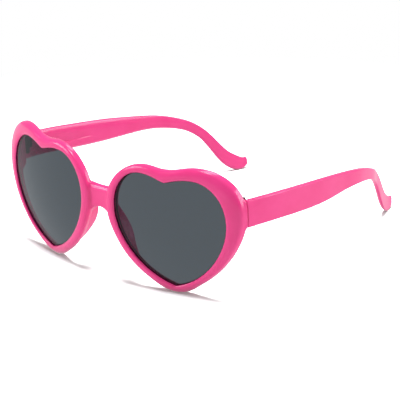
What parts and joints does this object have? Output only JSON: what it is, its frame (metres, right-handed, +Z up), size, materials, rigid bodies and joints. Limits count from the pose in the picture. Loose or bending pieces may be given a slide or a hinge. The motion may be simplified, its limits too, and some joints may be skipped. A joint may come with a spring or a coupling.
{
  "type": "heart shaped sunglasses",
  "caption": "Novelty sunglasses with heart shaped rims, tinted curved lenses, a scooped saddle bridge, moulded nose pads and folding temples with bent ear ends.",
  "frame": {"origin": "on the ground, midway between the outer faces of the rims and midway from the front of the bridge side of the rims to the rear ends of the temples", "axes": "+Y runs back from the lenses along the temples, +Z is up, and +X is towards the wearer's left, so the lenses face -Y"},
  "size_m": [0.151, 0.1602, 0.0627],
  "materials": {
    "frame_plastic": "glossy opaque pink, moulded",
    "tinted_lens": "polished, evenly tinted neutral grey, see-through",
    "hinge_steel": "dark plated steel"
  },
  "bodies": {
    "front": {"front_frame": "frame_plastic", "lens_left": "tinted_lens", "lens_right": "tinted_lens", "front_hinge_left": "hinge_steel", "front_hinge_right": "hinge_steel", "hinge_screw_left": "hinge_steel", "hinge_screw_right": "hinge_steel"},
    "left_arm": {"temple_left": "frame_plastic", "temple_hinge_left": "hinge_steel"},
    "right_arm": {"temple_right": "frame_plastic", "temple_hinge_right": "hinge_steel"}
  },
  "joints": [
    {"name": "temple_left_fold", "type": "hinge", "parent": "front", "child": "left_arm", "pos_m": [0.06998, -0.05688, 0.0453], "axis": [0, 0, 1], "range_deg": [0, 84]},
    {"name": "temple_right_fold", "type": "hinge", "parent": "front", "child": "right_arm", "pos_m": [-0.06998, -0.05688, 0.0453], "axis": [0, 0, -1], "range_deg": [0, 78]}
  ]
}
